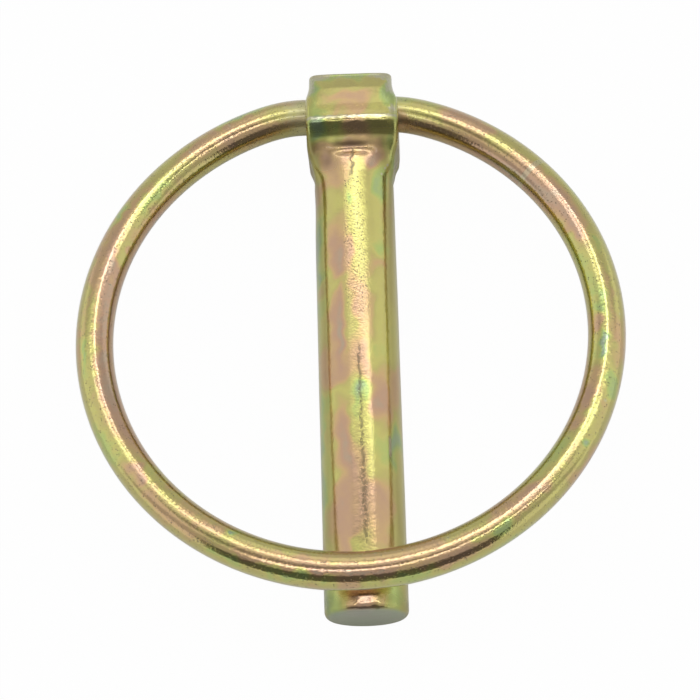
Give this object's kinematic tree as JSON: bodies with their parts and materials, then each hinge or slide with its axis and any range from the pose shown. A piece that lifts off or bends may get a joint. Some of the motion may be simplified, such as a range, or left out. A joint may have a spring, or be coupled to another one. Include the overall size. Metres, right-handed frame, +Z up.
{
  "type": "lynch pin",
  "caption": "Forged lynch pin with a round shank and a sprung wire ring that swings in the head's cross hole and snaps over the shank.",
  "frame": {"origin": "on the shank's axis, where the straight round shank begins under the head's neck", "axes": "+Y along the shank towards the head, -Y towards the shank's end, +Z up with the pin lying on its back, the closed ring on the +Z side, X across the head along the ring's hole"},
  "size_m": [0.0533, 0.0551, 0.0131],
  "materials": {
    "plated_pin": "yellow passivated zinc plating, semi-gloss, iridescent",
    "plated_ring": "yellow passivated zinc plating, semi-gloss, iridescent"
  },
  "bodies": {
    "pin": {"pin": "plated_pin"},
    "ring": {"ring": "plated_ring"}
  },
  "joints": [
    {"name": "ring_swing", "type": "hinge", "parent": "pin", "child": "ring", "pos_m": [0, 0.0082, 0], "axis": [-1, 0, 0], "range_deg": [0, 346.3]}
  ]
}
